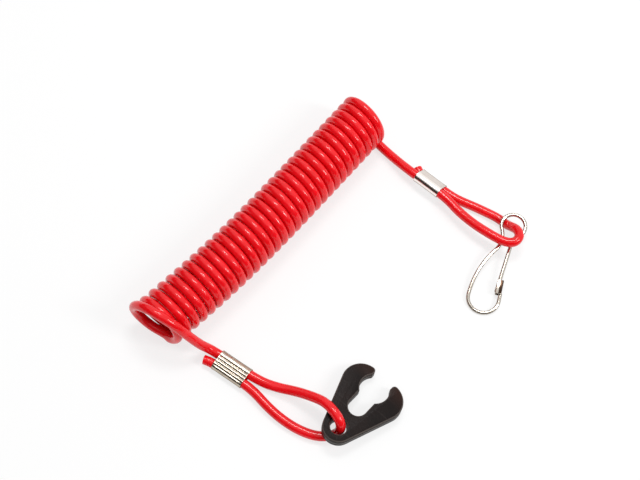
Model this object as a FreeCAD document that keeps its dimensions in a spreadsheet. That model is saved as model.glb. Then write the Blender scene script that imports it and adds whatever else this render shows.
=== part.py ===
"""Lanyard of an engine kill switch: coiled cord, two crimped ferrules, fork key and wire snap clip.

Millimetres, +Z up, lying on the plane z = 0. +X runs along the coil from the key's end to the clip's end.
The origin is under the middle of the key, the clip and the two ferrules.
"""
import FreeCAD
import Part
import Sketcher
import math
import os

Vector = FreeCAD.Vector
Rotation = FreeCAD.Rotation
Placement = FreeCAD.Placement
UP = Vector(0, 0, 1)

doc = FreeCAD.newDocument("kill_switch_lanyard")
sheet = doc.addObject("Spreadsheet::Sheet", "sizes")

SIZES = {
    "cordDiameter": 4.2,
    "coilDiameter": 25.2,
    "coilLength": 134.6,
    "coilBow": 2.6,
    "keyFerruleLength": 15.0,
    "clipFerruleLength": 13.0,
    "ferruleWall": 0.35,
    "ferruleClearance": 0.05,
    "fluteRadius": 0.3,
    "fluteDepth": 0.16,
    "fluteSpacing": 1.7,
    "keyThickness": 5.0,
    "keyHoleRadius": 3.5,
    "keyEndRadius": 6.8,
    "keyShoulderRadius": 8.6,
    "keyShoulderAhead": 21.2,
    "keyShoulderAside": 5.8,
    "keyNeckRadius": 4.1,
    "keyNeckAhead": 12.0,
    "keyPocketRadius": 6.4,
    "keyPocketAhead": 22.7,
    "keyMouthHalf": 4.8,
    "keyTipRadius": 1.6,
    "keyEdgeBevel": 0.5,
    "keyCordGap": 0.25,
    "clipWire": 1.6,
    "clipEyeRadius": 5.3,
    "clipBowRadius": 7.5,
    "clipLength": 35.0,
    "clipWaistHalf": 2.25,
    "clipWaistRadius": 10.0,
    "clipGateEnd": 31.0,
    "clipGateAside": 4.9,
    "catchLength": 6.5,
    "catchWall": 0.5,
    "catchBack": 0.8,
    "catchDepth": 1.8,
    "catchClearance": 0.2,
    "clipCordGap": 0.2,
}
for row, (alias, value) in enumerate(SIZES.items(), start=1):
    sheet.set(f"A{row}", alias)
    sheet.set(f"B{row}", str(value))
    sheet.setAlias(f"B{row}", alias)
doc.recompute()


def size(alias):
    """The number in the cell with this alias."""
    return float(getattr(sheet, alias))


def bind(item, path, formula):
    """Tie a property or a named constraint to the sheet."""
    item.setExpression(path, formula)


def bound(sketch, name, constraint, formula):
    """Add a dimension to a sketch, name it and tie it to the sheet."""
    index = sketch.addConstraint(constraint)
    sketch.renameConstraint(index, name)
    bind(sketch, f"Constraints.{name}", formula)


def new_body(label):
    body = doc.addObject("PartDesign::Body", label)
    body.Label = label
    return body


def new_sketch(body, name, plane="XY_Plane"):
    """A sketch on one of the body's own origin planes."""
    sketch = body.newObject("Sketcher::SketchObject", name)
    origin_plane = [f for f in body.Origin.OriginFeatures if f.Role == plane][0]
    sketch.AttachmentSupport = [(origin_plane, "")]
    sketch.MapMode = "FlatFace"
    return sketch


def arc(centre, radius, start, end):
    """An arc run anticlockwise between two angles in degrees."""
    circle = Part.Circle(centre, UP, radius)
    return Part.ArcOfCircle(circle, math.radians(start), math.radians(end))


def polar(centre, radius, angle):
    turn = math.radians(angle)
    return centre + Vector(radius * math.cos(turn), radius * math.sin(turn), 0)


def chain_tangent(sketch, first, count, closed):
    """Join consecutive edges end to start, tangent to each other."""
    last = count if closed else count - 1
    for i in range(last):
        here = first + i
        after = first + (i + 1) % count
        sketch.addConstraint(Sketcher.Constraint("Tangent", here, 2, after, 1))


# Cord

COIL_MIDDLE = Vector(-6.12, 61.77, size("coilDiameter") / 2)


def make_coil():
    """The coil as one fat rod of its outer diameter, bent to the slight bow that it lies in."""
    coil = doc.addObject("Part::Torus", "coil_cord")
    coil.Label = "coil_cord"
    bow_radius = "sizes.coilLength ^ 2 / (8 * sizes.coilBow)"
    bind(coil, "Radius1", bow_radius)
    bind(coil, "Radius2", "sizes.coilDiameter / 2")
    bind(coil, "Angle3", f"sizes.coilLength / ({bow_radius}) * 180 / pi")
    doc.recompute()
    ring = coil.Radius1.Value
    half_angle = coil.Angle3.Value / 2
    centre = COIL_MIDDLE + Vector(0, ring, 0)
    coil.Placement = Placement(centre, Rotation(UP, -90 - half_angle))
    return coil


KEY_END_ROUTE = [
    (-72.92, 60.77, 2.7),
    (-74.65, 68.58, 2.3),
    (-76.45, 75.58, 8.2),
    (-76.85, 76.58, 15.4),
    (-75.85, 71.98, 22.6),
    (-73.75, 63.98, 27.2),
    (-71.55, 55.38, 24.6),
    (-69.32, 49.12, 15.6),
    (-67.22, 44.73, 7.2),
    (-65.14, 41.21, 2.5),
    (-62.06, 17.81, 2.5),
    (-58.52, 9.62, 3),
    (-54.92, 2.62, 4.8),
    (-52.72, -4.27, 7.7),
    (-51.32, -11.88, 10.9),
    (-53.52, -21.68, 11.8),
    (-55.92, -22.58, 2.1),
    (-62.22, -17.88, 2.1),
    (-65.62, -9.78, 2.1),
    (-67.12, -0.77, 2.1),
    (-67.17, 8.12, 2.15),
    (-66.32, 17.25, 2.5),
    (-68.98, 37.48, 2.5),
    (-70.62, 41.02, 2.5),
]

CLIP_END_ROUTE = [
    (57.58, 56.52, 2.3),
    (56.98, 49.73, 2.1),
    (56.18, 42.32, 3.1),
    (55.18, 34.02, 5.26),
    (55.74, 12.63, 5.26),
    (54.08, 4.83, 5.4),
    (53.43, -4.17, 6.4),
    (53.63, -11.67, 7.6),
    (54.28, -17.68, 8.3),
    (55.38, -21.78, 8.8),
    (58.08, -24.33, 9),
    (61.63, -23.98, 9),
    (63.83, -21.08, 7.9),
    (64.63, -17.88, 4.9),
    (65.18, -14.47, 2.1),
    (65.28, -9.88, 2.1),
    (64.03, -4.38, 2.1),
    (62.43, 1.73, 2.1),
    (60.58, 7.23, 2.15),
    (59.04, 12.72, 2.5),
    (58.53, 30.92, 2.5),
    (59.68, 32.92, 2.5),
]


def tangent_path(points):
    """Straight runs joined by arcs: radius = 0.45 of the shorter run / tan(half the turn)."""
    edges = []
    radii = []
    start = points[0]
    for before, corner, after in zip(points, points[1:], points[2:]):
        way_in = corner - before
        way_out = after - corner
        trim = 0.45 * min(way_in.Length, way_out.Length)
        radii.append(trim / math.tan(way_in.getAngle(way_out) / 2))
        way_in.normalize()
        way_out.normalize()
        first = corner - way_in * trim
        last = corner + way_out * trim
        to_middle = way_out - way_in
        to_middle.normalize()
        reach = math.hypot(radii[-1], trim) - radii[-1]
        middle = corner + to_middle * reach
        edges.append(Part.LineSegment(start, first).toShape())
        edges.append(Part.Arc(first, middle, last).toShape())
        start = last
    edges.append(Part.LineSegment(start, points[-1]).toShape())
    return Part.Wire(edges), radii


def make_tube(label, route):
    """One stretch of cord along its route, with its radii and its volume printed."""
    points = [Vector(*p) for p in route]
    path, radii = tangent_path(points)
    radius = size("cordDiameter") / 2
    ring = Part.Wire(Part.Circle(points[0], points[1] - points[0], radius).toShape())
    tube = doc.addObject("Part::Feature", label)
    tube.Label = label
    tube.Shape = path.makePipeShell([ring], True, True)
    expected = math.pi * radius**2 * path.Length
    print(label, "length", round(path.Length, 1), "radii", [round(r, 1) for r in radii])
    print(label, "volume", round(tube.Shape.Volume, 1), "section x length", round(expected, 1))
    return tube


# Ferrules

def stadium(sketch, radius, spacing, radius_formula, name):
    """Two half circles a strand spacing apart, joined by straight lines."""
    half = spacing / 2
    left = Vector(-half, 0, 0)
    right = Vector(half, 0, 0)
    first = sketch.GeometryCount
    sketch.addGeometry(arc(left, radius, 90, 270))
    sketch.addGeometry(Part.LineSegment(Vector(-half, -radius, 0), Vector(half, -radius, 0)))
    sketch.addGeometry(arc(right, radius, -90, 90))
    sketch.addGeometry(Part.LineSegment(Vector(half, radius, 0), Vector(-half, radius, 0)))
    chain_tangent(sketch, first, 4, True)
    sketch.addConstraint(Sketcher.Constraint("Symmetric", first, 3, first + 2, 3, -1, 1))
    sketch.addConstraint(Sketcher.Constraint("PointOnObject", first, 3, -1))
    bound(sketch, f"{name}Spacing", Sketcher.Constraint("DistanceX", first, 3, first + 2, 3, spacing),
          "sizes.cordDiameter + 2 * sizes.ferruleClearance")
    bound(sketch, f"{name}Radius", Sketcher.Constraint("Radius", first, radius), radius_formula)


def make_ferrule(label, place, roll, length, fluted):
    """A crimped oval tube round two strands; its length runs along the heading in its place."""
    centre_x, centre_y, heading = place
    body = new_body(label)
    bore = size("cordDiameter") / 2 + size("ferruleClearance")
    wall = size("ferruleWall")
    section = new_sketch(body, f"{label}_section")
    inner = "sizes.cordDiameter / 2 + sizes.ferruleClearance"
    stadium(section, bore + wall, 2 * bore, f"{inner} + sizes.ferruleWall", "outer")
    stadium(section, bore, 2 * bore, inner, "inner")
    tube = body.newObject("PartDesign::Pad", f"{label}_tube")
    tube.Profile = section
    bind(tube, "Length", f"sizes.{length}")
    doc.recompute()
    if fluted:
        flute_sketch = new_sketch(body, f"{label}_flute_section")
        height = bore + wall + size("fluteRadius") - size("fluteDepth")
        aside = size("fluteSpacing")
        flute_sketch.addGeometry(Part.Circle(Vector(-aside, height, 0), UP, size("fluteRadius")))
        bound(flute_sketch, "radius", Sketcher.Constraint("Radius", 0, size("fluteRadius")),
              "sizes.fluteRadius")
        bound(flute_sketch, "aside", Sketcher.Constraint("DistanceX", 0, 3, -1, 1, aside),
              "sizes.fluteSpacing")
        bound(flute_sketch, "height", Sketcher.Constraint("DistanceY", -1, 1, 0, 3, height),
              f"{inner} + sizes.ferruleWall + sizes.fluteRadius - sizes.fluteDepth")
        flute = body.newObject("PartDesign::Pocket", f"{label}_flute")
        flute.Profile = flute_sketch
        flute.Reversed = True
        bind(flute, "Length", f"sizes.{length}")
        doc.recompute()
        flutes = body.newObject("PartDesign::LinearPattern", f"{label}_flutes")
        flutes.Originals = [flute]
        flutes.Direction = (flute_sketch, ["H_Axis"])
        bind(flutes, "Length", "2 * sizes.fluteSpacing")
        flutes.Occurrences = 3
        body.Tip = flutes
    along = Vector(math.cos(math.radians(heading)), math.sin(math.radians(heading)), 0)
    start = Vector(centre_x, centre_y, 0) - along * (size(length) / 2)
    half_flat = bore * abs(math.sin(math.radians(roll)))
    start.z = bore + wall + half_flat
    turn = Rotation(UP, heading + 90) * Rotation(Vector(1, 0, 0), 90) * Rotation(UP, roll)
    body.Placement = Placement(start, turn)
    return body


# middle of each ferrule in the plan, and the way it points in degrees
KEY_FERRULE = (-65.73, 29.23, -82.5)
CLIP_FERRULE = (57.11, 23.38, -88.5)


# Fork key

def cut_through(body, name, sketch):
    """Cut a closed outline right through the plate, upwards from its lower face."""
    cut = body.newObject("PartDesign::Pocket", name)
    cut.Profile = sketch
    cut.Reversed = True
    bind(cut, "Length", "sizes.keyThickness")
    doc.recompute()


def cut_circle(body, name, radius, ahead=None):
    """A round cut on the key's centre line, at the origin or some way ahead of it."""
    sketch = new_sketch(body, f"{name}_outline")
    x = size(ahead) if ahead else 0
    sketch.addGeometry(Part.Circle(Vector(x, 0, 0), UP, size(radius)))
    bound(sketch, "radius", Sketcher.Constraint("Radius", 0, size(radius)), f"sizes.{radius}")
    if ahead:
        sketch.addConstraint(Sketcher.Constraint("PointOnObject", 0, 3, -1))
        bound(sketch, "ahead", Sketcher.Constraint("DistanceX", -1, 1, 0, 3, x), f"sizes.{ahead}")
    else:
        sketch.addConstraint(Sketcher.Constraint("Coincident", 0, 3, -1, 1))
    cut_through(body, name, sketch)


def cut_strip(body, name, half, start, start_formula, end, end_formula):
    """A straight cut along the key's centre line."""
    sketch = new_sketch(body, f"{name}_outline")
    half_width = size(half)
    corners = [Vector(start, -half_width, 0), Vector(end, -half_width, 0),
               Vector(end, half_width, 0), Vector(start, half_width, 0)]
    for i in range(4):
        sketch.addGeometry(Part.LineSegment(corners[i], corners[(i + 1) % 4]))
    for i in range(4):
        sketch.addConstraint(Sketcher.Constraint("Coincident", i, 2, (i + 1) % 4, 1))
    sketch.addConstraint(Sketcher.Constraint("Horizontal", 0))
    sketch.addConstraint(Sketcher.Constraint("Horizontal", 2))
    sketch.addConstraint(Sketcher.Constraint("Vertical", 1))
    sketch.addConstraint(Sketcher.Constraint("Symmetric", 0, 1, 3, 1, -1))
    bound(sketch, "width", Sketcher.Constraint("DistanceY", 0, 1, 3, 1, 2 * half_width), f"2 * sizes.{half}")
    bound(sketch, "start", Sketcher.Constraint("DistanceX", -1, 1, 0, 1, start), start_formula)
    bound(sketch, "end", Sketcher.Constraint("DistanceX", -1, 1, 0, 2, end), end_formula)
    cut_through(body, name, sketch)


def edges_at(shape, place, tolerance=0.01):
    """Names of the upright edges that stand at a point of the plan."""
    names = []
    for i, edge in enumerate(shape.Edges, start=1):
        ends = [v.Point for v in edge.Vertexes]
        if len(ends) == 2 and all(math.hypot(p.x - place.x, p.y - place.y) < tolerance for p in ends):
            names.append(f"Edge{i}")
    return names


def make_key():
    """Flat fork: an outline of three tangent circles with a cord hole, a neck, a round pocket and a mouth."""
    body = new_body("kill_key")
    end_radius = size("keyEndRadius")
    shoulder = size("keyShoulderRadius")
    ahead = size("keyShoulderAhead")
    aside = size("keyShoulderAside")
    spread = math.atan2(aside, ahead)
    taper = math.asin((shoulder - end_radius) / math.hypot(ahead, aside))
    side = 90 + math.degrees(spread + taper)
    hole = Vector(0, 0, 0)
    lower = Vector(ahead, -aside, 0)
    upper = Vector(ahead, aside, 0)
    outline = new_sketch(body, "key_outline")
    outline.addGeometry(arc(hole, end_radius, side, 360 - side))
    outline.addGeometry(Part.LineSegment(polar(hole, end_radius, -side), polar(lower, shoulder, -side)))
    meet = math.degrees(math.asin(aside / shoulder))
    outline.addGeometry(arc(lower, shoulder, 360 - side, 360 + meet))
    outline.addGeometry(arc(upper, shoulder, -meet, side))
    outline.addGeometry(Part.LineSegment(polar(upper, shoulder, side), polar(hole, end_radius, side)))
    for here, after in ((0, 1), (1, 2), (3, 4), (4, 0)):
        outline.addConstraint(Sketcher.Constraint("Tangent", here, 2, after, 1))
    outline.addConstraint(Sketcher.Constraint("Coincident", 2, 2, 3, 1))
    outline.addConstraint(Sketcher.Constraint("Coincident", 0, 3, -1, 1))
    outline.addConstraint(Sketcher.Constraint("Symmetric", 2, 3, 3, 3, -1))
    outline.addConstraint(Sketcher.Constraint("Equal", 2, 3))
    bound(outline, "endRadius", Sketcher.Constraint("Radius", 0, end_radius), "sizes.keyEndRadius")
    bound(outline, "shoulderRadius", Sketcher.Constraint("Radius", 2, shoulder), "sizes.keyShoulderRadius")
    bound(outline, "ahead", Sketcher.Constraint("DistanceX", -1, 1, 2, 3, ahead), "sizes.keyShoulderAhead")
    bound(outline, "aside", Sketcher.Constraint("DistanceY", 2, 3, 3, 3, 2 * aside),
          "2 * sizes.keyShoulderAside")
    plate = body.newObject("PartDesign::Pad", "key_plate")
    plate.Profile = outline
    bind(plate, "Length", "sizes.keyThickness")
    doc.recompute()

    cut_circle(body, "key_hole", "keyHoleRadius")
    cut_circle(body, "key_neck_end", "keyNeckRadius", "keyNeckAhead")
    cut_strip(body, "key_neck", "keyNeckRadius", size("keyNeckAhead"), "sizes.keyNeckAhead",
              size("keyPocketAhead"), "sizes.keyPocketAhead")
    cut_circle(body, "key_pocket", "keyPocketRadius", "keyPocketAhead")
    length = ahead + shoulder
    cut_strip(body, "key_mouth", "keyMouthHalf", size("keyPocketAhead"), "sizes.keyPocketAhead",
              length + 1, "sizes.keyShoulderAhead + sizes.keyShoulderRadius + 1")

    front = ahead + math.sqrt(shoulder**2 - (aside - size("keyMouthHalf"))**2)
    cut_key = body.Tip
    tips = []
    for sign in (-1, 1):
        tips += edges_at(cut_key.Shape, Vector(front, sign * size("keyMouthHalf"), 0))
    rounded = body.newObject("PartDesign::Fillet", "key_round_tips")
    rounded.Base = (cut_key, tips)
    bind(rounded, "Radius", "sizes.keyTipRadius")
    doc.recompute()
    rims = []
    for i, face in enumerate(rounded.Shape.Faces, start=1):
        if isinstance(face.Surface, Part.Plane) and abs(face.normalAt(0, 0).z) > 0.99:
            rims.append(f"Face{i}")
    bevel = body.newObject("PartDesign::Chamfer", "key_bevel")
    bevel.Base = (rounded, rims)
    bind(bevel, "Size", "sizes.keyEdgeBevel")
    doc.recompute()

    lean = math.asin((size("cordDiameter") + size("keyCordGap")) / (length + size("keyHoleRadius")))
    rotation = Rotation(Vector(0, 1, 0), math.degrees(lean))
    base = Vector(KEY_HOLE[0], KEY_HOLE[1], length * math.sin(lean))
    body.Placement = Placement(base, rotation)
    return body


KEY_HOLE = (-55.67, -21.38)


# Snap clip

def make_clip():
    """One bent wire: gate, eye, long side and bow, ending in a pressed catch that the gate's tip sits in."""
    body = new_body("snap_clip")
    wire = size("clipWire") / 2
    eye = size("clipEyeRadius")
    bow = size("clipBowRadius")
    length = size("clipLength")
    waist = size("clipWaistRadius")
    waist_aside = size("clipWaistHalf") + waist
    waist_ahead = math.sqrt((eye + waist)**2 - waist_aside**2)
    at_waist = math.degrees(math.atan2(waist_aside, waist_ahead))
    reach = math.hypot(length - waist_ahead, waist_aside)
    slope = math.degrees(math.asin((waist + bow) / reach) - math.atan2(waist_aside, length - waist_ahead))
    left = Vector(waist_ahead, -waist_aside, 0)
    right = Vector(waist_ahead, waist_aside, 0)
    bow_middle = Vector(length, 0, 0)
    gate_end = Vector(size("clipGateEnd"), size("clipGateAside"), 0)
    to_gate = gate_end - right
    off = math.degrees(math.atan2(to_gate.y, to_gate.x))
    gate_turn = off - math.degrees(math.acos(waist / to_gate.Length))
    leg_start = polar(bow_middle, bow, 90 + slope)
    catch_x = size("clipGateEnd") + 2 * size("catchClearance") + size("catchWall") / 2
    leg_end = leg_start - Vector(1, math.tan(math.radians(slope)), 0) * (leg_start.x - catch_x)

    path = new_sketch(body, "clip_centre_line")
    path.addGeometry(Part.LineSegment(gate_end, polar(right, waist, gate_turn)))
    path.addGeometry(arc(right, waist, 180 + at_waist, 360 + gate_turn))
    path.addGeometry(arc(Vector(0, 0, 0), eye, at_waist, 360 - at_waist))
    path.addGeometry(arc(left, waist, 90 - slope, 180 - at_waist))
    path.addGeometry(Part.LineSegment(polar(left, waist, 90 - slope), polar(bow_middle, bow, -90 - slope)))
    path.addGeometry(arc(bow_middle, bow, -90 - slope, 90 + slope))
    path.addGeometry(Part.LineSegment(leg_start, leg_end))
    joins = ((0, 2, 1, 2), (1, 1, 2, 1), (2, 2, 3, 2), (3, 1, 4, 1), (4, 2, 5, 1), (5, 2, 6, 1))
    for here, end, after, start in joins:
        path.addConstraint(Sketcher.Constraint("Tangent", here, end, after, start))
    path.addConstraint(Sketcher.Constraint("Coincident", 2, 3, -1, 1))
    path.addConstraint(Sketcher.Constraint("PointOnObject", 5, 3, -1))
    path.addConstraint(Sketcher.Constraint("Equal", 1, 3))
    path.addConstraint(Sketcher.Constraint("Vertical", 4, 2, 5, 2))
    bound(path, "eyeRadius", Sketcher.Constraint("Radius", 2, eye), "sizes.clipEyeRadius")
    bound(path, "bowRadius", Sketcher.Constraint("Radius", 5, bow), "sizes.clipBowRadius")
    bound(path, "length", Sketcher.Constraint("DistanceX", -1, 1, 5, 3, length), "sizes.clipLength")
    bound(path, "waistRadius", Sketcher.Constraint("Radius", 3, waist), "sizes.clipWaistRadius")
    aside_formula = "sizes.clipWaistHalf + sizes.clipWaistRadius"
    bound(path, "waistLeft", Sketcher.Constraint("DistanceY", 3, 3, -1, 1, waist_aside), aside_formula)
    bound(path, "waistRight", Sketcher.Constraint("DistanceY", -1, 1, 1, 3, waist_aside), aside_formula)
    bound(path, "gateEnd", Sketcher.Constraint("DistanceX", -1, 1, 0, 1, gate_end.x), "sizes.clipGateEnd")
    bound(path, "gateAside", Sketcher.Constraint("DistanceY", -1, 1, 0, 1, gate_end.y), "sizes.clipGateAside")
    bound(path, "catchEnd", Sketcher.Constraint("DistanceX", -1, 1, 6, 2, leg_end.x),
          "sizes.clipGateEnd + 2 * sizes.catchClearance + sizes.catchWall / 2")
    doc.recompute()
    ring = body.newObject("Sketcher::SketchObject", "clip_wire_section")
    ring.AttachmentSupport = [(path, "Vertex1"), (path, "Edge1")]
    ring.MapMode = "NormalToEdge"
    ring.addGeometry(Part.Circle(Vector(0, 0, 0), UP, wire))
    ring.addConstraint(Sketcher.Constraint("Coincident", 0, 3, -1, 1))
    bound(ring, "wire", Sketcher.Constraint("Radius", 0, wire), "sizes.clipWire / 2")
    doc.recompute()
    bent = body.newObject("PartDesign::AdditivePipe", "clip_bent_wire")
    bent.Profile = ring
    bent.Spine = (path, [f"Edge{i}" for i in range(1, 8)])
    doc.recompute()

    along = Vector(math.cos(math.radians(slope)), math.sin(math.radians(slope)), 0)
    outward = Vector(-along.y, along.x, 0)
    wall = size("catchWall")
    back = size("catchBack")
    height = size("clipWire") + 2 * size("catchClearance")
    far_end = leg_end + along * (wall / 2)
    free_end = far_end - along * size("catchLength")
    turn = Rotation(UP, slope)
    block = body.newObject("PartDesign::AdditiveBox", "catch_block")
    bind(block, "Length", "sizes.catchLength")
    bind(block, "Width", "sizes.catchBack + sizes.catchDepth")
    bind(block, "Height", "sizes.clipWire + 2 * sizes.catchClearance + 2 * sizes.catchWall")
    inner = outward * (back / 2 + size("catchDepth"))
    block.Placement = Placement(free_end - inner - UP * (height / 2 + wall), turn)
    doc.recompute()
    groove = body.newObject("PartDesign::SubtractiveBox", "catch_groove")
    bind(groove, "Length", "sizes.catchLength")
    bind(groove, "Width", "sizes.catchBack + sizes.catchDepth")
    bind(groove, "Height", "sizes.clipWire + 2 * sizes.catchClearance")
    groove.Placement = Placement(free_end - along * wall - inner - outward * back - UP * (height / 2), turn)
    doc.recompute()

    lift = math.asin((size("cordDiameter") + size("clipCordGap")) / (length + bow))
    heading = Rotation(UP, CLIP_HEADING) * Rotation(Vector(0, 1, 0), math.degrees(lift))
    base = Vector(CLIP_EYE[0], CLIP_EYE[1], wire + (length + bow) * math.sin(lift))
    body.Placement = Placement(base, heading)
    return body


CLIP_EYE = (65.25, -18.23)
CLIP_HEADING = 198.0


parts = [
    make_coil(),
    make_tube("key_end_cord", KEY_END_ROUTE),
    make_tube("clip_end_cord", CLIP_END_ROUTE),
    make_ferrule("key_end_ferrule", KEY_FERRULE, 0, "keyFerruleLength", True),
    make_ferrule("clip_end_ferrule", CLIP_FERRULE, -40, "clipFerruleLength", False),
    make_key(),
    make_clip(),
]
doc.recompute()
for item in doc.Objects:
    if "Invalid" in item.State or "Error" in item.State:
        raise RuntimeError(f"{item.Name} failed: {item.State}")

os.makedirs("parts", exist_ok=True)
for item in parts:
    shape = item.Shape
    if shape.isNull() or not shape.isValid() or len(shape.Solids) != 1:
        raise RuntimeError(f"{item.Label} isn't one valid solid")
    shape.exportStep(f"parts/{item.Label}.step")
    box = shape.BoundBox
    print(item.Label, "volume", round(shape.Volume, 1), "mm3, box",
          [round(v, 2) for v in (box.XMin, box.YMin, box.ZMin, box.XMax, box.YMax, box.ZMax)])
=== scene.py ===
import math
import bmesh
import bpy
import numpy as np
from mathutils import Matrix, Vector


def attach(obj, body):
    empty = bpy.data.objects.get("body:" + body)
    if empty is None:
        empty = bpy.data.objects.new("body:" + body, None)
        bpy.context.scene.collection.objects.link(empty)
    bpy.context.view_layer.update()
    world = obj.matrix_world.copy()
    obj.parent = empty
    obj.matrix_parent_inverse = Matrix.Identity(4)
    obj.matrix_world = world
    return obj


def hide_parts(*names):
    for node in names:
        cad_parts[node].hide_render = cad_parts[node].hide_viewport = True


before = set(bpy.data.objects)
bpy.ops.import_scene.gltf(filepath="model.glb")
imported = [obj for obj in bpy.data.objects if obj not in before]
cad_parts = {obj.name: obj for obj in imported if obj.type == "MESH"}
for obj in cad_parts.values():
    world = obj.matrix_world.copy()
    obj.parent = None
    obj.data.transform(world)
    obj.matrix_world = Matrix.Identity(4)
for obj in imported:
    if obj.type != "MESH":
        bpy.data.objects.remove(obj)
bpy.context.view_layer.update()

# camera first, at the photograph's angle and frame
camera = {
    "target": (0.00216, 0.04077, 0.006),
    "lookFlat": (0.7408, 0.6717),  # horizontal direction that it looks in
    "elevation": 66.0,  # degrees above the floor
    "distance": 0.484,
    "lens": 61.9,
    "sensor": 36.0,
    "nearest": 0.01,
}


def makeCamera():
    # looks at the target along one direction, from a distance
    steep = math.radians(camera["elevation"])
    flatX, flatY = camera["lookFlat"]
    look = Vector((flatX * math.cos(steep), flatY * math.cos(steep), -math.sin(steep)))
    data = bpy.data.cameras.new("camera")
    data.lens = camera["lens"]
    data.sensor_width = camera["sensor"]
    data.clip_start = camera["nearest"]
    made = bpy.data.objects.new("camera", data)
    made.location = Vector(camera["target"]) - look * camera["distance"]
    made.rotation_euler = look.to_track_quat("-Z", "Y").to_euler()
    bpy.context.scene.collection.objects.link(made)
    bpy.context.scene.camera = made


makeCamera()
print("camera placed")

# one cord from tail to tail: key's tail, loop and leg, the coil, then the clip's leg, loop and tail
keyEndRoute = [
    (-0.07330, 0.06077, 0.00270),
    (-0.07510, 0.06850, 0.00230),
    (-0.07610, 0.07470, 0.00820),
    (-0.07620, 0.07570, 0.01540),
    (-0.07535, 0.07155, 0.02260),
    (-0.07425, 0.06388, 0.02720),
    (-0.07210, 0.05528, 0.02460),
    (-0.06990, 0.04902, 0.01560),
    (-0.06768, 0.04463, 0.00720),
    (-0.06514, 0.04121, 0.00250),
    (-0.06206, 0.01781, 0.00250),
    (-0.05885, 0.00955, 0.00300),
    (-0.05525, 0.00252, 0.00480),
    (-0.05297, -0.00435, 0.00770),
    (-0.05132, -0.01188, 0.01090),
    (-0.05352, -0.02168, 0.01180),
    (-0.05592, -0.02258, 0.00210),
    (-0.06222, -0.01788, 0.00210),
    (-0.06587, -0.00985, 0.00210),
    (-0.06740, -0.00085, 0.00210),
    (-0.06740, 0.00805, 0.00215),
    (-0.06632, 0.01725, 0.00250),
    (-0.06898, 0.03748, 0.00250),
    (-0.07062, 0.04102, 0.00250),
]
clipEndRoute = [
    (0.05758, 0.05652, 0.00230),
    (0.05698, 0.04973, 0.00210),
    (0.05618, 0.04232, 0.00310),
    (0.05518, 0.03402, 0.00526),
    (0.05574, 0.01263, 0.00526),
    (0.05408, 0.00483, 0.00540),
    (0.05343, -0.00417, 0.00640),
    (0.05363, -0.01167, 0.00760),
    (0.05428, -0.01768, 0.00830),
    (0.05538, -0.02178, 0.00880),
    (0.05788, -0.02408, 0.00900),
    (0.06137, -0.02369, 0.00900),
    (0.06355, -0.02078, 0.00790),
    (0.06435, -0.01758, 0.00490),
    (0.06486, -0.01420, 0.00210),
    (0.06491, -0.00978, 0.00210),
    (0.06366, -0.00438, 0.00210),
    (0.06212, 0.00173, 0.00210),
    (0.06036, 0.00723, 0.00215),
    (0.05904, 0.01272, 0.00250),
    (0.05860, 0.02862, 0.00250),
    (0.05853, 0.03092, 0.00250),
    (0.05968, 0.03292, 0.00250),
]
cord = {
    "diameter": 0.0042,
    "nearRadius": 0.0104,  # from the coil's axis to the cord's centre
    "farRadius": 0.0106,
    "nearX": -0.07192,
    "farX": 0.05968,
    "middleX": -0.0059,
    "middleY": 0.06177,
    "nearBow": 0.0021,  # how far each end stands behind the middle
    "farBow": 0.0026,
    "halfLength": 0.0672,
    "sway": 0.0005,  # one end lies a little nearer than the bow gives, the other a little farther
    "lean": 0.0018,  # how far the backs of the first turns lean outwards
    "leanLeast": 0.2,  # their fronts lean by a little too
    "leanTurns": 6.0,  # over how many turns that fades
    "foot": 0.0016,  # how far the feet of the first turns stand outwards
    "footTurns": 2.0,
    "startTurn": 0.10,  # turns past the lowest point where the helix begins
    "turns": 30.0,
    "pointsPerTurn": 16,
    "stepsPerPoint": 4,
    "roundness": 6,  # steps of its round section
}


def coilPoints():
    # left-handed helix: along x, y = bowed axis - r sin(turn), z = r0 - r cos(turn)
    count = int((cord["turns"] - cord["startTurn"]) * cord["pointsPerTurn"]) + 1
    turn = np.linspace(cord["startTurn"], cord["turns"], count) * 2 * np.pi
    share = (turn - turn[0]) / (turn[-1] - turn[0])
    x = cord["nearX"] + (cord["farX"] - cord["nearX"]) * share
    # the key's end stands outwards: 1 - sin(turn) is most at the back, 1 + cos(turn) at the foot
    passed = (turn - turn[0]) / (2 * np.pi)
    least = cord["leanLeast"]
    x -= cord["lean"] * np.exp(-passed / cord["leanTurns"]) * (1 + least - np.sin(turn)) / (2 + least)
    x -= cord["foot"] * np.exp(-passed / cord["footTurns"]) * (1 + np.cos(turn)) / 2
    along = (x - cord["middleX"]) / cord["halfLength"]
    bow = np.where(along < 0, cord["nearBow"], cord["farBow"])
    axisY = cord["middleY"] + bow * along ** 2 + cord["sway"] * np.sin(np.pi * along)
    # the spline takes 3/4 of a control point and 1/8 of each neighbour, so the points lie a little outside
    corner = 2 * np.pi / cord["pointsPerTurn"]
    radius = cord["nearRadius"] + (cord["farRadius"] - cord["nearRadius"]) * share
    floorHeight = radius + cord["diameter"] / 2
    radius = radius / (0.75 + 0.25 * math.cos(corner))
    return np.column_stack([x, axisY - radius * np.sin(turn), floorHeight - radius * np.cos(turn)])


def splineLength(curve):
    # sum of the steps along the same curve with no thickness
    bare = curve.copy()
    bare.bevel_depth = 0
    probe = bpy.data.objects.new("probe", bare)
    mesh = bpy.data.meshes.new_from_object(probe)
    points = np.zeros(len(mesh.vertices) * 3)
    mesh.vertices.foreach_get("co", points)
    points = points.reshape(-1, 3)
    bpy.data.objects.remove(probe)
    bpy.data.curves.remove(bare)
    bpy.data.meshes.remove(mesh)
    return float(np.linalg.norm(np.diff(points, axis=0), axis=1).sum())


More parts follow.
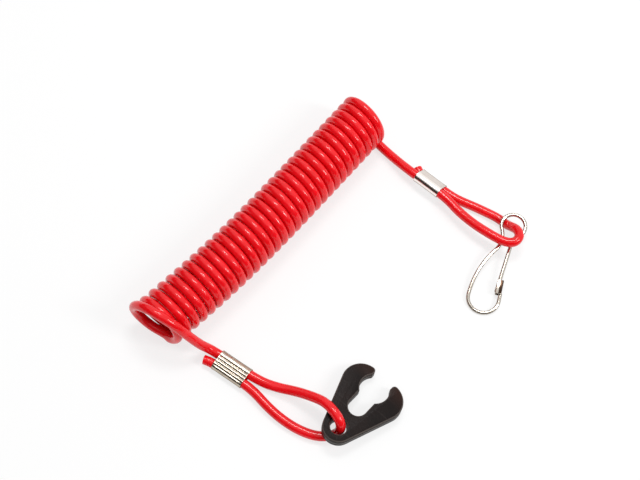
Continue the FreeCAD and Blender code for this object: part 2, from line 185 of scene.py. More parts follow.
def makeCord():
    # one smooth spline over both routes and the coil, with the cord's radius at every point
    points = np.vstack([np.array(keyEndRoute)[::-1], coilPoints(), np.array(clipEndRoute)])
    curve = bpy.data.curves.new("redCord", "CURVE")
    curve.dimensions = "3D"
    curve.resolution_u = cord["stepsPerPoint"]
    spline = curve.splines.new("NURBS")
    spline.points.add(len(points) - 1)
    spline.points.foreach_set("co", np.column_stack([points, np.ones(len(points))]).ravel())
    spline.order_u = 3
    spline.use_endpoint_u = True
    length = splineLength(curve)
    spline.points.foreach_set("radius", np.full(len(points), cord["diameter"] / 2))
    curve.bevel_depth = 1.0  # times each point's own radius
    curve.bevel_resolution = cord["roundness"]
    curve.use_fill_caps = True
    made = bpy.data.objects.new("redCord", curve)
    bpy.context.scene.collection.objects.link(made)
    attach(made, "lanyard")
    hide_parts("coil_cord", "key_end_cord", "clip_end_cord")
    print("cord length", round(length, 3))
    return made


redCord = makeCord()
print("cord made")

# ferrules
ferrules = {
    "wall": 0.35,  # millimetres
    "bore": 2.15,  # half the bore round one strand
    "rim": 0.14,  # rounding of the ends
    "flare": 0.10,  # the ends stand proud of the crimped middle
    "flareReach": 0.9,
    "grooveWidth": 0.36,
    "grooveFade": 1.2,  # the grooves run out over this length at both ends
    "grooveHeight": 0.3,  # they lie on the flats, farther than this from the middle plane
    "sectionPoints": 220,
    "rimPoints": 5,
    "lengthPoints": 44,
    "boreStep": 6,  # the bore has one ring for every sixth outside
    # headings and rolls in degrees, the grooves' places across the flats
    "key": {"centre": (-65.73, 29.23), "heading": -82.5, "roll": 0.0, "length": 15.0,
            "grooves": (1.35, -0.15, -1.65, -3.1), "grooveDepth": 0.30},
    "clip": {"centre": (57.11, 23.38), "heading": -88.5, "roll": -40.0, "length": 13.0,
             "grooves": (), "grooveDepth": 0.0},
}


smallestGap = 1e-7  # metres: points of a new mesh that are closer become one


def newPiece(name, points, faces, body, node):
    # one mesh at the origin, outward faces, riding on a body in place of its CAD node
    mesh = bpy.data.meshes.new(name)
    mesh.from_pydata(points.tolist(), [], faces.tolist())
    shaper = bmesh.new()
    shaper.from_mesh(mesh)
    bmesh.ops.remove_doubles(shaper, verts=shaper.verts, dist=smallestGap)
    bmesh.ops.recalc_face_normals(shaper, faces=shaper.faces)
    shaper.to_mesh(mesh)
    shaper.free()
    mesh.polygons.foreach_set("use_smooth", np.ones(len(mesh.polygons), dtype=bool))
    made = bpy.data.objects.new(name, mesh)
    bpy.context.scene.collection.objects.link(made)
    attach(made, body)
    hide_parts(node)
    return made


def gridFaces(rows, columns, closeRows):
    # quads of a grid whose columns close on themselves, and whose rows do if asked
    last = rows if closeRows else rows - 1
    row, column = np.meshgrid(np.arange(last), np.arange(columns), indexing="ij")
    nextRow = (row + 1) % rows
    nextColumn = (column + 1) % columns
    corners = [row * columns + column, row * columns + nextColumn,
               nextRow * columns + nextColumn, nextRow * columns + column]
    return np.stack(corners, axis=-1).reshape(-1, 4)


def ovalSection(bore, count):
    # two half circles a strand apart, joined by straight lines: points and outward normals by arc length
    lap = 2 * np.pi * bore + 4 * bore
    s = np.linspace(0, lap, count, endpoint=False)
    arcLength = np.pi * bore
    flat = 2 * bore
    onRight = s < arcLength
    onTop = (s >= arcLength) & (s < arcLength + flat)
    onLeft = (s >= arcLength + flat) & (s < 2 * arcLength + flat)
    turn = np.where(onRight, s / bore - np.pi / 2, np.where(onLeft, (s - flat) / bore - np.pi / 2, 0))
    normalX = np.where(onRight | onLeft, np.cos(turn), 0)
    normalY = np.where(onRight | onLeft, np.sin(turn), np.where(onTop, 1, -1))
    straight = np.where(onTop, bore - (s - arcLength), -bore + (s - 2 * arcLength - flat))
    centreX = np.where(onRight, bore, np.where(onLeft, -bore, straight))
    return np.column_stack([centreX, np.zeros(count)]), np.column_stack([normalX, normalY])


def makeFerrule(name, shape, node):
    # oval section carried round the wall's own outline: out along the tube, over the end, back inside
    bore, wall, rim = ferrules["bore"], ferrules["wall"], ferrules["rim"]
    length = shape["length"]
    count = ferrules["sectionPoints"]
    centres, normals = ovalSection(bore, count)
    curve = np.linspace(0, np.pi / 2, ferrules["rimPoints"])
    over, back = rim * np.sin(curve), rim * np.cos(curve)
    steps = np.linspace(rim, length - rim, ferrules["lengthPoints"])
    outer = steps[1:-1]
    inner = steps[-2:0:-ferrules["boreStep"]]
    along = np.concatenate([rim - back, outer, length - rim + over, length - rim + back, inner, rim - over])
    out = np.concatenate([wall - rim + over, np.full(len(outer), wall), wall - rim + back,
                          rim - over, np.zeros(len(inner)), rim - back])
    outside = np.clip(out / wall * 2 - 1, 0, 1)  # 0 up to half the wall's thickness, 1 at its outside
    toEnd = np.minimum(along, length - along)
    out = out + ferrules["flare"] * np.exp(-(toEnd / ferrules["flareReach"]) ** 2)
    # crimped grooves: bell-shaped dips across the section, fading towards both ends
    section = centres + normals * (bore + wall)
    onFlats = np.abs(section[:, 1]) > ferrules["grooveHeight"]
    inset = np.zeros(count)
    for place in shape["grooves"]:
        aside = (section[:, 0] - place) / ferrules["grooveWidth"]
        inset += shape["grooveDepth"] * np.exp(-aside ** 2) * onFlats
    fade = np.clip(toEnd / ferrules["grooveFade"], 0, 1) ** 0.5
    reach = bore + out[:, None] - inset[None, :] * (outside * fade)[:, None]
    local = centres[None, :, :] + normals[None, :, :] * reach[:, :, None]
    # roll about the tube's own line, then turn to its heading
    roll = math.radians(shape["roll"])
    across = local[..., 0] * math.cos(roll) - local[..., 1] * math.sin(roll)
    height = local[..., 0] * math.sin(roll) + local[..., 1] * math.cos(roll)
    heading = math.radians(shape["heading"])
    forward = along[:, None] - length / 2
    x = shape["centre"][0] + forward * math.cos(heading) - across * math.sin(heading)
    y = shape["centre"][1] + forward * math.sin(heading) + across * math.cos(heading)
    z = height + bore + wall + bore * abs(math.sin(roll))
    points = np.stack([x, y, z], axis=-1).reshape(-1, 3) / 1000
    return newPiece(name, points, gridFaces(len(along), count, True), "lanyard", node)


keyFerrule = makeFerrule("keyFerrule", ferrules["key"], "key_end_ferrule")
clipFerrule = makeFerrule("clipFerrule", ferrules["clip"], "clip_end_ferrule")
print("ferrules made")

# snap clip: lengths in millimetres, ahead of the eye's middle and aside from the clip's own middle line
clip = {
    "eyePlace": (64.97, -17.93, 5.2),
    "heading": 197.9,  # degrees
    "drop": 4.4,  # how much lower the bow's far end lies than the eye
    "wire": 0.8,  # radius
    "eye": 5.3,  # radii of the wire's line round the eye, the two waists and the bow
    "waist": 10.0,
    "bow": 6.7,
    "waistHalf": 2.25,  # from the middle line to the wire's line where it is narrowest
    "length": 36.0,  # from the eye's middle to the bow's
    "sideRadius": 42.0,  # the long side bulges a little
    "legSlope": 10.0,  # degrees that the leg leans inwards, from the bow to its end
    "gateEnd": (31.0, 4.0),  # ahead and aside
    "legEnd": 31.65,  # ahead
    "wirePoints": 20,
    "capPoints": 6,
    "capTip": 0.02,  # angle of the last, tiny ring of the wire's end caps
    "catchLength": 6.4,
    "catchWall": 0.5,
    "catchBack": 0.8,
    "catchDepth": 1.8,  # from the groove's floor to its open side
    "grooveHalf": 1.0,  # half the groove's width
    "grooveBevel": 0.4,
    "catchRound": 0.35,
    "catchLip": 0.15,
    "lipStep": 0.05,  # between points on the two roundings
    "roundStep": 0.08,
    "endBevel": 0.12,  # over this length the channel's section shrinks at both ends
    "endShrink": 0.9,  # to this share
    "edgeBevel": 0.00008,  # metres
    "edgeSteps": 2,
    "edgeAngle": 40.0,
}


def arcPoints(centre, radius, start, end, step=0.35):
    # points of a flat arc between two angles
    count = max(3, int(abs(end - start) * radius / step) + 1)
    turn = np.linspace(start, end, count)
    return np.column_stack([centre[0] + radius * np.cos(turn), centre[1] + radius * np.sin(turn)])


def linePoints(start, end, step=0.8):
    # evenly spaced points of a straight line
    count = max(3, int(math.dist(start, end) / step) + 1)
    return np.linspace(start, end, count)


def clipPlace(local):
    # local x ahead, y aside, z off the plate: dropped towards the bow, then turned to its heading
    lift = math.asin(clip["drop"] / (clip["length"] + clip["bow"]))
    turn = math.radians(clip["heading"])
    ahead = local[..., 0] * math.cos(lift) + local[..., 2] * math.sin(lift)
    high = -local[..., 0] * math.sin(lift) + local[..., 2] * math.cos(lift)
    x = ahead * math.cos(turn) - local[..., 1] * math.sin(turn)
    y = ahead * math.sin(turn) + local[..., 1] * math.cos(turn)
    return (np.stack([x, y, high], axis=-1) + np.array(clip["eyePlace"])) / 1000


def clipLine():
    # gate, right waist, eye, left waist, bulged side, bow and leg, each tangent to the next
    waist, eye, bow, side = clip["waist"], clip["eye"], clip["bow"], clip["sideRadius"]
    aside = clip["waistHalf"] + waist
    waistX = math.sqrt((eye + waist) ** 2 - aside ** 2)
    atWaist = math.atan2(aside, waistX)
    right = (waistX, aside)
    left = (waistX, -aside)
    gateX, gateY = clip["gateEnd"][0] - right[0], clip["gateEnd"][1] - right[1]
    gateTurn = math.atan2(gateY, gateX) - math.acos(waist / math.hypot(gateX, gateY))
    gateStart = (right[0] + waist * math.cos(gateTurn), right[1] + waist * math.sin(gateTurn))
    # the side's circle holds the bow's circle inside and touches the waist's from outside
    toBow = math.hypot(clip["length"] - waistX, aside)
    inner, outer = side - bow, side + waist
    lean = math.acos((outer ** 2 + toBow ** 2 - inner ** 2) / (2 * outer * toBow))
    atSide = math.atan2(aside, clip["length"] - waistX) + lean
    sideX, sideY = left[0] + outer * math.cos(atSide), left[1] + outer * math.sin(atSide)
    sideStart = atSide + math.pi
    sideEnd = math.atan2(-sideY, clip["length"] - sideX) % (2 * math.pi)
    slope = math.radians(clip["legSlope"])
    legStart = (clip["length"] - bow * math.sin(slope), bow * math.cos(slope))
    legEnd = (clip["legEnd"], legStart[1] - (legStart[0] - clip["legEnd"]) * math.tan(slope))
    parts = [
        linePoints(clip["gateEnd"], gateStart),
        arcPoints(right, waist, gateTurn, atWaist - math.pi),
        arcPoints((0, 0), eye, atWaist, 2 * math.pi - atWaist),
        arcPoints(left, waist, math.pi - atWaist, atSide),
        arcPoints((sideX, sideY), side, sideStart, sideEnd),
        arcPoints((clip["length"], 0), bow, sideEnd, 2 * math.pi + math.pi / 2 + slope),
        linePoints(legStart, legEnd),
    ]
    line = np.vstack([parts[0]] + [part[1:] for part in parts[1:]])
    return line, np.array(legEnd), slope


def makeClip():
    # round wire: circles of the wire's radius across its line, closed by half balls at both ends
    line, legEnd, slope = clipLine()
    wire = clip["wire"]
    count = clip["wirePoints"]
    way = np.gradient(line, axis=0)
    way /= np.linalg.norm(way, axis=1)[:, None]
    aside = np.column_stack([-way[:, 1], way[:, 0]])
    cap = np.linspace(clip["capTip"], np.pi / 2, clip["capPoints"] + 1)[:-1]
    rows = np.vstack([line[0] - way[0] * wire * np.cos(cap)[:, None], line,
                      line[-1] + way[-1] * wire * np.cos(cap)[::-1, None]])
    radius = np.concatenate([wire * np.sin(cap), np.full(len(line), wire), wire * np.sin(cap)[::-1]])
    aside = np.pad(aside, ((len(cap), len(cap)), (0, 0)), mode="edge")
    turn = np.linspace(0, 2 * np.pi, count, endpoint=False)
    flat = rows[:, None, :] + aside[:, None, :] * (radius[:, None] * np.cos(turn))[..., None]
    high = radius[:, None] * np.sin(turn)
    wirePoints = np.concatenate([flat, high[..., None]], axis=-1).reshape(-1, 3)
    # catch: a channel with rounded corners, carried along the leg, open towards the gate
    profile = catchProfile()
    along = np.array([math.cos(slope), math.sin(slope)])
    outward = np.array([-along[1], along[0]])
    length, bevel, small = clip["catchLength"], clip["endBevel"], clip["endShrink"]
    lengths = np.array([0.0, bevel, length - bevel, length])
    shrink = np.array([small, 1.0, 1.0, small])
    middle = profile.mean(axis=0)
    ring = middle + (profile[None] - middle) * shrink[:, None, None]
    start = legEnd + along * (clip["catchWall"] / 2 - length)
    plan = start + along * lengths[:, None, None] + outward * ring[..., :1]
    catchPoints = np.concatenate([plan, ring[..., 1:]], axis=-1).reshape(-1, 3)
    points = clipPlace(np.vstack([wirePoints, catchPoints]))
    faces = np.vstack([gridFaces(len(rows), count, False),
                       gridFaces(len(lengths), len(profile), False) + len(wirePoints)])
    made = newPiece("snapClip", points, faces, "clip", "snap_clip")
    closeHoles(made.data)
    soften(made, "catchEdges", clip["edgeBevel"], clip["edgeSteps"], clip["edgeAngle"])
    return made


def catchProfile():
    # outline of the channel, outward and off the plate, its outer corners rounded
    back, half = clip["catchBack"] / 2, clip["grooveHalf"]
    inner = -clip["catchDepth"] - back
    edge = half + clip["catchWall"]
    radius, lip, bevel = clip["catchRound"], clip["catchLip"], clip["grooveBevel"]
    upper = np.vstack([
        arcPoints((inner + lip, edge - lip), lip, math.pi, math.pi / 2, clip["lipStep"]),
        arcPoints((back - radius, edge - radius), radius, math.pi / 2, 0, clip["roundStep"]),
    ])
    groove = np.array([[inner, -half], [-back - bevel, -half], [-back, -half + bevel],
                       [-back, half - bevel], [-back - bevel, half], [inner, half]])
    return np.vstack([upper, upper[::-1] * [1, -1], groove])


def closeHoles(mesh):
    # fills each open outline, here the two ends of the channel, with a face
    shaper = bmesh.new()
    shaper.from_mesh(mesh)
    bmesh.ops.holes_fill(shaper, edges=shaper.edges)
    bmesh.ops.recalc_face_normals(shaper, faces=shaper.faces)
    shaper.to_mesh(mesh)
    shaper.free()


def soften(piece, name, width, segments, angle):
    # rounds the edges that are sharper than an angle
    made = piece.modifiers.new(name, "BEVEL")
    made.width = width
    made.segments = segments
    made.limit_method = "ANGLE"
    made.angle_limit = math.radians(angle)
    return made


snapClip = makeClip()
print("clip made")

# fork key: a merged copy of the CAD mesh with softened edges
key = {
    "hole": (-0.05567, -0.02138, 0.0298 * 4.45 / 33.3),  # on the underside, 29.8 mm behind the tips
    "lean": math.asin(4.45 / 33.3),  # the plate leans down from its cord hole to its tips
    "thickness": 0.005,
    "merge": 1e-6,  # points closer than this become one
    "flatAngle": 0.5,  # faces that differ by less become one
    "softEdge": 0.00016,
    "edgeSteps": 3,
    "edgeAngle": 25.0,
}


def makeKey():
    # joins the mesh's loose triangles, drops the lines between flat ones and rounds its edges
    shaper = bmesh.new()
    shaper.from_mesh(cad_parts["kill_key"].data)
    bmesh.ops.remove_doubles(shaper, verts=shaper.verts, dist=key["merge"])
    bmesh.ops.dissolve_limit(shaper, angle_limit=math.radians(key["flatAngle"]), verts=shaper.verts,
                             edges=shaper.edges)
    mesh = bpy.data.meshes.new("forkKey")
    shaper.to_mesh(mesh)
    shaper.free()
    mesh.polygons.foreach_set("use_smooth", np.ones(len(mesh.polygons), dtype=bool))
    made = bpy.data.objects.new("forkKey", mesh)
    bpy.context.scene.collection.objects.link(made)
    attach(made, "key")
    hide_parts("kill_key")
    soften(made, "softEdge", key["softEdge"], key["edgeSteps"], key["edgeAngle"]).harden_normals = True
    return made


forkKey = makeKey()
print("key made")


# materials: small helpers, two shared effects, then each piece's finish
def newMaterial(name):
    material = bpy.data.materials.new(name)
    material.use_nodes = True
    nodes = material.node_tree.nodes
    return material, nodes, material.node_tree.links, nodes["Principled BSDF"]


def compute(nodes, links, operation, *values):
    # one maths node: each value is a number or another node's output
    made = nodes.new("ShaderNodeMath")
    made.operation = operation
    for socket, value in zip(made.inputs, values):
        if isinstance(value, float):
            socket.default_value = value
        else:
            links.new(value, socket)
    return made.outputs[0]


def addSocket(group, name, way, kind, value=None):
    made = group.interface.new_socket(name, in_out=way, socket_type=kind)
    if value is not None:
        made.default_value = value


def mapRange(nodes, low, high):
    # turns a value between low and high into 0 to 1
    made = nodes.new("ShaderNodeMapRange")
    made.inputs["From Min"].default_value = low
    made.inputs["From Max"].default_value = high
    return made


effects = {
    "patchRange": (0.3, 0.7),  # the noise between these becomes 0 to 1
    "hairStretch": (1.0, 0.06, 1.0),
    "hairDetail": 2.0,
    "hairRange": (0.62, 0.76),  # only the noise's crests
}


def makeMottleGroup():
    # cloudy patches: smooth noise stretched to the full range
    group = bpy.data.node_groups.new("mottle", "ShaderNodeTree")
    addSocket(group, "Vector", "INPUT", "NodeSocketVector")
    addSocket(group, "Scale", "INPUT", "NodeSocketFloat", 200.0)
    addSocket(group, "Detail", "INPUT", "NodeSocketFloat", 3.0)
    addSocket(group, "Mask", "OUTPUT", "NodeSocketFloat")
    nodes, links = group.nodes, group.links
    given = nodes.new("NodeGroupInput")
    noise = nodes.new("ShaderNodeTexNoise")
    spread = mapRange(nodes, *effects["patchRange"])
    done = nodes.new("NodeGroupOutput")
    links.new(given.outputs["Vector"], noise.inputs["Vector"])
    links.new(given.outputs["Scale"], noise.inputs["Scale"])
    links.new(given.outputs["Detail"], noise.inputs["Detail"])
    links.new(noise.outputs["Fac"], spread.inputs["Value"])
    links.new(spread.outputs["Result"], done.inputs["Mask"])
    return group


def makeScratchGroup():
    # hairline scratches: noise drawn out along one direction, only its crests kept
    group = bpy.data.node_groups.new("hairScratches", "ShaderNodeTree")
    addSocket(group, "Vector", "INPUT", "NodeSocketVector")
    addSocket(group, "Scale", "INPUT", "NodeSocketFloat", 1500.0)
    addSocket(group, "Direction", "INPUT", "NodeSocketVector", (0.0, 0.0, 0.0))
    addSocket(group, "Mask", "OUTPUT", "NodeSocketFloat")
    nodes, links = group.nodes, group.links
    given = nodes.new("NodeGroupInput")
    turned = nodes.new("ShaderNodeMapping")
    turned.inputs["Scale"].default_value = effects["hairStretch"]
    noise = nodes.new("ShaderNodeTexNoise")
    noise.inputs["Detail"].default_value = effects["hairDetail"]
    crest = mapRange(nodes, *effects["hairRange"])
    done = nodes.new("NodeGroupOutput")
    links.new(given.outputs["Vector"], turned.inputs["Vector"])
    links.new(given.outputs["Direction"], turned.inputs["Rotation"])
    links.new(turned.outputs["Vector"], noise.inputs["Vector"])
    links.new(given.outputs["Scale"], noise.inputs["Scale"])
    links.new(noise.outputs["Fac"], crest.inputs["Value"])
    links.new(crest.outputs["Result"], done.inputs["Mask"])
    return group


mottle = makeMottleGroup()
scratches = makeScratchGroup()


def placeGroup(nodes, links, group, source, values):
    # puts a shared effect into a material, with the material's own values
    made = nodes.new("ShaderNodeGroup")
    made.node_tree = group
    for name, value in values.items():
        made.inputs[name].default_value = value
    links.new(source, made.inputs["Vector"])
    return made.outputs["Mask"]


def blendColours(nodes, links, mask, first, second, share=1.0):
    # first where the mask is 0, second where it is 1
    made = nodes.new("ShaderNodeMix")
    made.data_type = "RGBA"
    for socket, colour in ((made.inputs[6], first), (made.inputs[7], second)):
        if isinstance(colour, tuple):
            socket.default_value = colour
        else:
            links.new(colour, socket)
    links.new(mask if share == 1.0 else compute(nodes, links, "MULTIPLY", mask, share), made.inputs[0])
    return made.outputs[2]


def roughBetween(nodes, links, mask, low, high, shader):
    # roughness that goes from low to high with the mask
    span = nodes.new("ShaderNodeMapRange")
    span.inputs["To Min"].default_value = low
    span.inputs["To Max"].default_value = high
    links.new(mask, span.inputs["Value"])
    links.new(span.outputs["Result"], shader.inputs["Roughness"])


def addBump(nodes, links, shader, height, depth, strength):
    bump = nodes.new("ShaderNodeBump")
    bump.inputs["Distance"].default_value = depth
    bump.inputs["Strength"].default_value = strength
    links.new(height, bump.inputs["Height"])
    links.new(bump.outputs["Normal"], shader.inputs["Normal"])


def ownAxes(nodes, links, place, origin, turned):
    # the place along a piece's own three axes
    level = nodes.new("ShaderNodeMapping")
    level.vector_type = "TEXTURE"
    level.inputs["Location"].default_value = origin
    level.inputs["Rotation"].default_value = turned
    apart = nodes.new("ShaderNodeSeparateXYZ")
    links.new(place, level.inputs["Vector"])
    links.new(level.outputs["Vector"], apart.inputs["Vector"])
    return apart.outputs


cordFinish = {
    "red": (0.80, 0.004, 0.010, 1),
    "deep": (0.72, 0.002, 0.005, 1),
    "dust": (0.80, 0.10, 0.11, 1),
    "dustShare": 0.22,
    "smooth": 0.12,
    "dull": 0.19,
    "gloss": 0.45,
    "bump": (0.00004, 0.2),  # depth and strength
    "cloud": {"Scale": 160.0, "Detail": 3.0},  # patterns: the scale is how many there are in a metre
    "speck": {"Scale": 1400.0, "Detail": 2.0},
    "hairs": {"Scale": 1800.0, "Direction": (0.3, 0.5, 0.9)},
}
keyFinish = {
    "black": (0.0045, 0.0026, 0.0022, 1),
    "brown": (0.010, 0.0045, 0.0034, 1),
    "scuff": (0.05, 0.04, 0.036, 1),
    # pale colour of the painted highlights on the mould's line and on the bevels
    "seamHighlight": (0.20, 0.17, 0.155, 1),
    "tip": (0.045, 0.018, 0.012, 1),
    "scuffShare": 0.25,
    "tipShare": 0.5,
    "tipReach": (0.022, 0.030),  # ahead of the hole, where the brown sets in and where it is full
    "seamHighlightShare": 0.7,
    "seamHeight": 0.55,  # of the thickness
    "seamHalf": 0.00024,
    "bevelHighlightShare": 0.35,
    "bevelHighlightSlope": 0.70,  # how far the bevels with the painted highlight face along the plate's own normal, and how far around that
    "bevelHighlightSpread": 0.22,
    "smooth": 0.34,
    "dull": 0.48,
    "gloss": 0.09,
    "bump": (0.00002, 0.5),
    "cloud": {"Scale": 90.0, "Detail": 3.0},
    "grain": {"Scale": 2600.0, "Detail": 2.0},
    "hairs": {"Scale": 900.0, "Direction": (0.0, 0.2, 0.7)},
}
metalFinish = {
    "cloudShare": 0.45,
    "scratchShare": 0.6,
    "bump": (0.000004, 0.35),
    "cloud": {"Scale": 420.0, "Detail": 4.0},
    "hairScale": 2200.0,  # each piece has its own grain, the turn of its hairlines
    "keyFerrule": {"bright": (0.58, 0.51, 0.42, 1), "dull": (0.42, 0.36, 0.28, 1),
                   "edge": (0.22, 0.18, 0.15, 1), "smooth": 0.20, "rough": 0.32, "grain": (0.0, 0.0, 1.2)},
    # the clip's ferrule is painted light: its colours are paler than the key ferrule's, near white, for the
    # lamps' glare that bleaches it
    "clipFerrule": {"bright": (1.0, 0.94, 0.89, 1), "dull": (0.92, 0.84, 0.78, 1),
                    "edge": (0.16, 0.12, 0.10, 1), "smooth": 0.14, "rough": 0.26, "grain": (0.0, 0.0, 1.3)},
    "clip": {"bright": (0.62, 0.57, 0.50, 1), "dull": (0.34, 0.29, 0.24, 1), "edge": (0.05, 0.03, 0.02, 1),
             "smooth": 0.10, "rough": 0.22, "grain": (0.0, 0.0, 0.3)},
    # where the painted dark reflection lies on the catch's bent back
    "catchPaintedReflection": {"half": 0.0031, "aside": -0.0003, "asideHalf": 0.0008},
}


def makeCordMaterial():
    # glossy plastic with cloudy depth, finger dust in hairlines and uneven polish
    material, nodes, links, shader = newMaterial("redCord")
    place = nodes.new("ShaderNodeTexCoord").outputs["Object"]
    cloud = placeGroup(nodes, links, mottle, place, cordFinish["cloud"])
    speck = placeGroup(nodes, links, mottle, place, cordFinish["speck"])
    scratch = placeGroup(nodes, links, scratches, place, cordFinish["hairs"])
    colour = blendColours(nodes, links, cloud, cordFinish["red"], cordFinish["deep"])
    colour = blendColours(nodes, links, scratch, colour, cordFinish["dust"], cordFinish["dustShare"])
    links.new(colour, shader.inputs["Base Color"])
    roughBetween(nodes, links, speck, cordFinish["smooth"], cordFinish["dull"], shader)
    shader.inputs["Specular IOR Level"].default_value = cordFinish["gloss"]
    addBump(nodes, links, shader, cloud, *cordFinish["bump"])
    return material


def makeMetalMaterial(name, finish, darken=None):
    # plated metal: cloudy, scratched along its grain, darker at a glancing angle, with a painted dark
    # reflection where one is given
    material, nodes, links, shader = newMaterial(name)
    place = nodes.new("ShaderNodeTexCoord").outputs["Object"]
    cloud = placeGroup(nodes, links, mottle, place, metalFinish["cloud"])
    hairs = {"Scale": metalFinish["hairScale"], "Direction": finish["grain"]}
    scratch = placeGroup(nodes, links, scratches, place, hairs)
    colour = blendColours(nodes, links, cloud, finish["bright"], finish["dull"], metalFinish["cloudShare"])
    colour = blendColours(nodes, links, scratch, colour, finish["dull"], metalFinish["scratchShare"])
    if darken:
        colour = darken(nodes, links, place, colour)
    links.new(colour, shader.inputs["Base Color"])
    roughBetween(nodes, links, cloud, finish["smooth"], finish["rough"], shader)
    shader.inputs["Metallic"].default_value = 1
    shader.inputs["Specular Tint"].default_value = finish["edge"]
    addBump(nodes, links, shader, scratch, *metalFinish["bump"])
    return material


def paintCatchReflection(nodes, links, place, colour):
    # painted dark reflection: the catch's bent back is painted a dark stripe along the end of the leg, for
    # the dark surroundings its rounded bend would mirror
    stripe = metalFinish["catchPaintedReflection"]
    line, legEnd, slope = clipLine()
    along = np.array([math.cos(slope), math.sin(slope)])
    middle = legEnd + along * (clip["catchWall"] - clip["catchLength"]) / 2
    origin = clipPlace(np.array([*middle, 0.0]))
    own = ownAxes(nodes, links, place, origin, (0, 0, math.radians(clip["heading"]) + slope))
    onLength = compute(nodes, links, "COMPARE", own["X"], 0.0, stripe["half"])
    onBack = compute(nodes, links, "COMPARE", own["Y"], stripe["aside"], stripe["asideHalf"])
    both = compute(nodes, links, "MULTIPLY", onLength, onBack)
    return blendColours(nodes, links, both, colour, metalFinish["clip"]["edge"])


def makeKeyMaterial():
    # satin plastic, with a painted highlight: a pale line half way up its side walls where the two halves
    # of its mould met
    finish = keyFinish
    material, nodes, links, shader = newMaterial("blackPlastic")
    place = nodes.new("ShaderNodeTexCoord").outputs["Object"]
    own = ownAxes(nodes, links, place, key["hole"], (0, key["lean"], 0))
    seamLevel = key["thickness"] * finish["seamHeight"]
    seamHighlight = compute(nodes, links, "COMPARE", own["Z"], seamLevel, finish["seamHalf"])
    cloud = placeGroup(nodes, links, mottle, place, finish["cloud"])
    grain = placeGroup(nodes, links, mottle, place, finish["grain"])
    scratch = placeGroup(nodes, links, scratches, place, finish["hairs"])
    colour = blendColours(nodes, links, cloud, finish["black"], finish["brown"])
    colour = blendColours(nodes, links, scratch, colour, finish["scuff"], finish["scuffShare"])
    toTips = mapRange(nodes, *finish["tipReach"])
    links.new(own["X"], toTips.inputs["Value"])
    colour = blendColours(nodes, links, toTips.outputs["Result"], colour, finish["tip"], finish["tipShare"])
    # painted highlight: the mould's line is painted pale for the light it catches
    colour = blendColours(nodes, links, seamHighlight, colour, finish["seamHighlight"], finish["seamHighlightShare"])
    # painted highlight on the bevels: where the surface slopes half way between the plate's face and its
    # side
    slope = nodes.new("ShaderNodeVectorMath")
    slope.operation = "DOT_PRODUCT"
    slope.inputs[1].default_value = (math.sin(key["lean"]), 0, math.cos(key["lean"]))
    links.new(nodes.new("ShaderNodeNewGeometry").outputs["Normal"], slope.inputs[0])
    bevelHighlight = compute(nodes, links, "COMPARE", slope.outputs["Value"], finish["bevelHighlightSlope"],
                   finish["bevelHighlightSpread"])
    # the bevels take the same pale colour as the painted highlight on the mould's line
    colour = blendColours(nodes, links, bevelHighlight, colour, finish["seamHighlight"], finish["bevelHighlightShare"])
    links.new(colour, shader.inputs["Base Color"])
    roughBetween(nodes, links, grain, finish["smooth"], finish["dull"], shader)
    shader.inputs["Specular IOR Level"].default_value = finish["gloss"]
    addBump(nodes, links, shader, grain, *finish["bump"])
    return material


def dress(piece, material):
    piece.data.materials.clear()
    piece.data.materials.append(material)


dress(redCord, makeCordMaterial())
dress(keyFerrule, makeMetalMaterial("keyFerruleMetal", metalFinish["keyFerrule"]))
dress(clipFerrule, makeMetalMaterial("clipFerruleMetalPaintedLight", metalFinish["clipFerrule"]))
dress(snapClip, makeMetalMaterial("clipNickel", metalFinish["clip"], paintCatchReflection))
dress(forkKey, makeKeyMaterial())
print("materials set")

# floor, light and background
studio = {
    "floorColour": (0.9, 0.9, 0.9, 1),
    "floorWhite": 0.72,  # share of plain white that the camera, mirrors and glass see on the floor
    "floorRough": 0.6,
    "floorGloss": 0.1,
    "floorHalf": 12.0,
    "worldFill": 0.58,
    "brightWay": (0.75, 0.0, 1.0),  # mirrors see a brighter world along this direction
    # what they see there: dark below the first share of it, white above the second
    "mirrored": ((0.42, (0.03, 0.024, 0.02, 1)), (0.72, (1, 1, 1, 1))),
    "middle": (0.0, 0.02, 0.0),  # that the light boxes face
    "boxPower": 3.1,
    "boxAway": 0.9,
    "boxes": [
        {"name": "frontBox", "toward": (0.30, -0.670, 0.678), "size": (0.17, 0.34)},
        {"name": "topBox", "toward": (0.30, 0.188, 0.935), "size": (0.34, 0.17)},
    ],
}


def seenRays(nodes, links):
    # 1 for rays from the camera, from mirrors and through glass
    path = nodes.new("ShaderNodeLightPath").outputs
    total = compute(nodes, links, "MAXIMUM", path["Is Camera Ray"], path["Is Glossy Ray"])
    return compute(nodes, links, "MAXIMUM", total, path["Is Transmission Ray"])


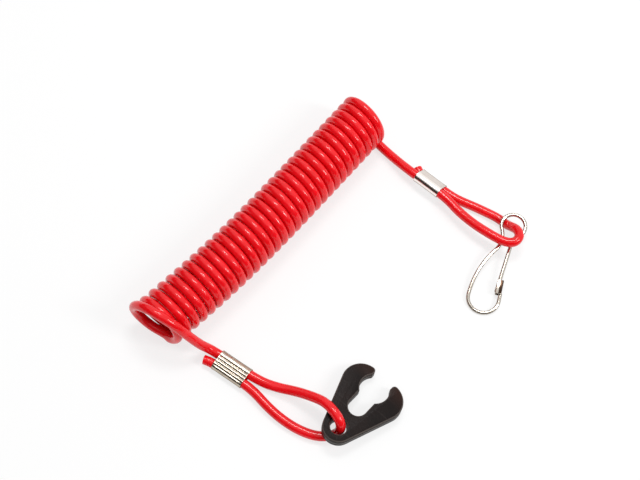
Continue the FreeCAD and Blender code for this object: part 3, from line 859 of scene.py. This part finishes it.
def makeFloor():
    mesh = bpy.data.meshes.new("floor")
    wide = studio["floorHalf"]
    corners = [(-wide, -wide, 0), (wide, -wide, 0), (wide, wide, 0), (-wide, wide, 0)]
    mesh.from_pydata(corners, [], [(0, 1, 2, 3)])
    made = bpy.data.objects.new("floor", mesh)
    bpy.context.scene.collection.objects.link(made)
    material, nodes, links, shader = newMaterial("floor")
    shader.inputs["Base Color"].default_value = studio["floorColour"]
    shader.inputs["Roughness"].default_value = studio["floorRough"]
    shader.inputs["Specular IOR Level"].default_value = studio["floorGloss"]
    white = nodes.new("ShaderNodeEmission")
    mixed = nodes.new("ShaderNodeMixShader")
    share = compute(nodes, links, "MULTIPLY", seenRays(nodes, links), studio["floorWhite"])
    links.new(share, mixed.inputs[0])
    links.new(shader.outputs[0], mixed.inputs[1])
    links.new(white.outputs[0], mixed.inputs[2])
    links.new(mixed.outputs[0], nodes["Material Output"].inputs["Surface"])
    dress(made, material)


def makeWorld():
    # even fill for matt surfaces; the camera and glass see white, mirrors see white above a darker horizon
    world = bpy.data.worlds.new("studio")
    world.use_nodes = True
    nodes, links = world.node_tree.nodes, world.node_tree.links
    path = nodes.new("ShaderNodeLightPath").outputs
    rise = nodes.new("ShaderNodeVectorMath")
    rise.operation = "DOT_PRODUCT"
    rise.inputs[1].default_value = studio["brightWay"]
    links.new(nodes.new("ShaderNodeTexCoord").outputs["Generated"], rise.inputs[0])
    ramp = nodes.new("ShaderNodeValToRGB")
    for stop, (position, colour) in zip(ramp.color_ramp.elements, studio["mirrored"]):
        stop.position = position
        stop.color = colour
    links.new(rise.outputs["Value"], ramp.inputs["Fac"])
    fill = (studio["worldFill"],) * 3 + (1,)
    seen = blendColours(nodes, links, path["Is Glossy Ray"], fill, ramp.outputs["Color"])
    for ray in ("Is Transmission Ray", "Is Camera Ray"):
        seen = blendColours(nodes, links, path[ray], seen, (1, 1, 1, 1))
    links.new(seen, nodes["Background"].inputs["Color"])
    bpy.context.scene.world = world


def makeLights():
    # soft boxes at one distance from the middle, facing it
    for box in studio["boxes"]:
        light = bpy.data.lights.new(box["name"], "AREA")
        light.shape = "RECTANGLE"
        light.size, light.size_y = box["size"]
        light.energy = studio["boxPower"]
        toward = Vector(box["toward"]).normalized()
        made = bpy.data.objects.new(box["name"], light)
        made.location = Vector(studio["middle"]) + toward * studio["boxAway"]
        made.rotation_euler = toward.to_track_quat("Z", "Y").to_euler()
        bpy.context.scene.collection.objects.link(made)


makeFloor()
makeWorld()
makeLights()
bpy.context.scene.view_settings.view_transform = "Standard"
print("floor and lights set")
